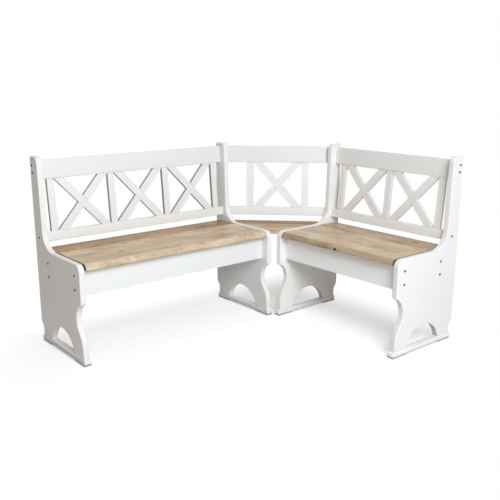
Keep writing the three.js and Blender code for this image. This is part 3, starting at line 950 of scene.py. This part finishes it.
def recess_mouths(node, axis):
    """The middle of each recess's mouth in a panel and the direction it faces, from the panel's mesh."""
    low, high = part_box(node.name)
    clusters = []
    for triangle in node.data.polygons:
        depth = min(triangle.center[axis] - low[axis], high[axis] - triangle.center[axis])
        if abs(triangle.normal[axis]) < NEARLY or depth < FACE_MARGIN:
            continue
        facing = Vector((0.0, 0.0, 0.0))
        facing[axis] = math.copysign(1.0, triangle.normal[axis])
        corners = [node.data.vertices[index].co for index in triangle.vertices]
        for cluster in clusters:
            if (cluster["corners"][0] - corners[0]).length < RECESS_REACH:
                cluster["corners"] += corners
                break
        else:
            clusters.append({"corners": corners, "facing": facing})
    places = []
    for cluster in clusters:
        lows = Vector([min(corner[i] for corner in cluster["corners"]) for i in range(3)])
        highs = Vector([max(corner[i] for corner in cluster["corners"]) for i in range(3)])
        place = (lows + highs) / 2
        place[axis] = high[axis] if cluster["facing"][axis] > 0 else low[axis]
        places.append((place, cluster["facing"]))
    return places


bolt_places = []
for bench, axis in (("long", 0), ("short", 1)):
    for side in ("inner", "outer"):
        bolt_places += recess_mouths(nodes[f"{bench}_{side}_panel"], axis)
print("bolts", len(bolt_places))

# %% The shapes that bore a drive
HEXAGON_SIDES = 6
SLOT_SHARE = 0.22


def drive_shapes(graph, given, kind):
    """The shapes that bore a hexagon socket or a cross into the top of a head."""
    top = graph.node("ShaderNodeCombineXYZ", {}, {"Z": given["Head Height"] + given["Chamfer"]})
    deep = given["Drive Depth"] * 2
    if kind == "hexagon":
        shapes = [graph.node("GeometryNodeMeshCylinder", {}, {
            "Vertices": HEXAGON_SIDES, "Radius": given["Drive Size"], "Depth": deep,
        })]
    else:
        narrow = given["Drive Size"] * SLOT_SHARE
        wide = given["Drive Size"] * 2
        sizes = [{"X": wide, "Y": narrow, "Z": deep}, {"X": narrow, "Y": wide, "Z": deep}]
        shapes = []
        for size in sizes:
            box = graph.node("ShaderNodeCombineXYZ", {}, size)
            shapes.append(graph.node("GeometryNodeMeshCube", {}, {"Size": box}))
    return [
        graph.node("GeometryNodeTransform", {}, {"Geometry": shape, "Translation": top})
        for shape in shapes
    ]


# %% The tree that models a fixing and sets it on points
FIXING_SOCKETS = {
    "Head Radius": "Float",
    "Head Height": "Float",
    "Chamfer": "Float",
    "Drive Size": "Float",
    "Drive Depth": "Float",
    "Finish": "Material",
}
HEAD_SEGMENTS = 28
TOP_SHRINK = 0.86


def fixing_tree(kind):
    graph, given = geometry_tree(f"{kind}_fixings", FIXING_SOCKETS)
    shank = graph.add("GeometryNodeMeshCylinder", {}, {
        "Vertices": HEAD_SEGMENTS,
        "Radius": given["Head Radius"],
        "Depth": given["Head Height"],
    })
    raised = graph.add("GeometryNodeExtrudeMesh", {"mode": "FACES"}, {
        "Mesh": Output(graph, shank.outputs["Mesh"]),
        "Selection": Output(graph, shank.outputs["Top"]),
        "Offset Scale": given["Chamfer"],
    })
    chamfered = graph.node("GeometryNodeScaleElements", {"domain": "FACE"}, {
        "Geometry": Output(graph, raised.outputs["Mesh"]),
        "Selection": Output(graph, raised.outputs["Top"]),
        "Scale": TOP_SHRINK,
    })
    lift = graph.node("ShaderNodeCombineXYZ", {}, {"Z": given["Head Height"] * 0.5})
    head = graph.node("GeometryNodeTransform", {}, {"Geometry": chamfered, "Translation": lift})
    bored = graph.node("GeometryNodeMeshBoolean", {"operation": "DIFFERENCE", "solver": "EXACT"}, {
        "Mesh 1": head,
        "Mesh 2": drive_shapes(graph, given, kind),
    })
    facing = graph.node("GeometryNodeInputNamedAttribute", {"data_type": "FLOAT_VECTOR"}, {
        "Name": "facing",
    })
    turn = graph.node("FunctionNodeAlignRotationToVector", {"axis": "Z"}, {"Vector": facing})
    copies = graph.node("GeometryNodeInstanceOnPoints", {}, {
        "Points": given["Geometry"],
        "Instance": bored,
        "Rotation": turn,
    })
    real = graph.node("GeometryNodeRealizeInstances", {}, {"Geometry": copies})
    finished = graph.node("GeometryNodeSetMaterial", {}, {
        "Geometry": real,
        "Material": given["Finish"],
    })
    graph.add("NodeGroupOutput", {}, {"Geometry": finished})
    return graph.tree


hexagon_fixings = fixing_tree("hexagon")
cross_fixings = fixing_tree("cross")
print("trees", hexagon_fixings.name, "and", cross_fixings.name)

# %% Make a set of fixings
def make_fixings(name, body, tree, places, values):
    """Sets the tree's head on every place and keeps the result as a plain mesh that rides on a body."""
    points = bpy.data.meshes.new(f"{name}_points")
    points.from_pydata([place for place, _ in places], [], [])
    facing = points.attributes.new("facing", "FLOAT_VECTOR", "POINT")
    for item, (_, direction) in zip(facing.data, places):
        item.vector = direction
    maker = bpy.data.objects.new(f"{name}_maker", points)
    bpy.context.scene.collection.objects.link(maker)
    add_modifier(maker, tree, values)
    shown = maker.evaluated_get(bpy.context.evaluated_depsgraph_get())
    mesh = bpy.data.meshes.new_from_object(shown)
    maker.modifiers.clear()
    bpy.data.objects.remove(maker)
    piece = bpy.data.objects.new(name, mesh)
    bpy.context.scene.collection.objects.link(piece)
    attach(piece, body)
    print(name, len(places), "heads,", len(mesh.polygons), "faces on", body)


BOLT_HEAD = {
    "Head Radius": 0.0055,
    "Head Height": 0.0009,
    "Chamfer": 0.0008,
    "Drive Size": 0.0024,
    "Drive Depth": 0.0025,
    "Finish": black_steel,
}
make_fixings("bolt_heads", "bench_frame", hexagon_fixings, bolt_places, BOLT_HEAD)

# %% [markdown]
# ## Hinge and cleat screws
#
# Three countersunk screws hold each hinge leaf to the edge of its board. They lie all but flush, because
# the two leaves close to a third of a millimetre. The cleats under the corner seat have larger screws.

# %% Hinge screws
LEAF_SCREW_SPACING = 0.022
LEAF_SCREW_DROP = 0.0125
LEAF_FACE = 0.00015
LEAF_SCREW_SINK = 0.0012
LEAF_SCREW = {
    "Head Radius": 0.0031,
    "Head Height": 0.0012,
    "Chamfer": 0.00006,
    "Drive Size": 0.0020,
    "Drive Depth": 0.0006,
    "Finish": bronze,
}


def leaf_screws(leaf, joint, towards_strip, on_strip):
    """Places of the screws of one leaf, on the face that the other leaf closes against."""
    low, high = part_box(leaf)
    hinge = Vector(joint["pos_m"])
    facing = -towards_strip if on_strip else towards_strip
    across = 1 if towards_strip.y else 0
    places = []
    for number in (-1, 0, 1):
        place = (low + high) / 2 + Vector(joint["axis"]) * number * LEAF_SCREW_SPACING
        place.z = hinge.z - LEAF_SCREW_DROP
        place[across] = hinge[across] - facing[across] * LEAF_FACE
        places.append((place - facing * LEAF_SCREW_SINK, facing))
    return places


for joint in frame["joints"]:
    bench = joint["child"].split("_")[0]
    towards_strip = Vector((0, 1, 0)) if bench == "long" else Vector((1, 0, 0))
    for board, body in (("strip", "bench_frame"), ("lid", joint["child"])):
        screws = []
        for number in (1, 2):
            leaf = f"{bench}_hinge_{number}_{board}_leaf"
            screws += leaf_screws(leaf, joint, towards_strip, board == "strip")
        make_fixings(f"{bench}_{board}_leaf_screws", body, cross_fixings, screws, LEAF_SCREW)

# %% Cleat screws
CLEAT_SCREW_SHARES = (0.12, 0.5, 0.88)
CLEAT_SCREW = {
    "Head Radius": 0.0042,
    "Head Height": 0.0004,
    "Chamfer": 0.0003,
    "Drive Size": 0.0028,
    "Drive Depth": 0.0005,
    "Finish": black_steel,
}

cleat_places = []
for bench, length_axis in (("long", 1), ("short", 0)):
    low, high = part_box(f"{bench}_side_cleat")
    across = 1 - length_axis
    facing = Vector((0.0, 0.0, 0.0))
    facing[across] = 1.0
    for share in CLEAT_SCREW_SHARES:
        place = (low + high) / 2
        place[length_axis] = low[length_axis] + share * (high[length_axis] - low[length_axis])
        place[across] = high[across]
        cleat_places.append((place, facing))
make_fixings("cleat_screws", "bench_frame", cross_fixings, cleat_places, CLEAT_SCREW)

# %% [markdown]
# ## Sizes
#
# The box of the frame alone is printed at the start, and the box of the dressed bench is printed here.

# %% Sizes
low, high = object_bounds()
print("dressed box", [round(value, 4) for value in (*low, *high)])
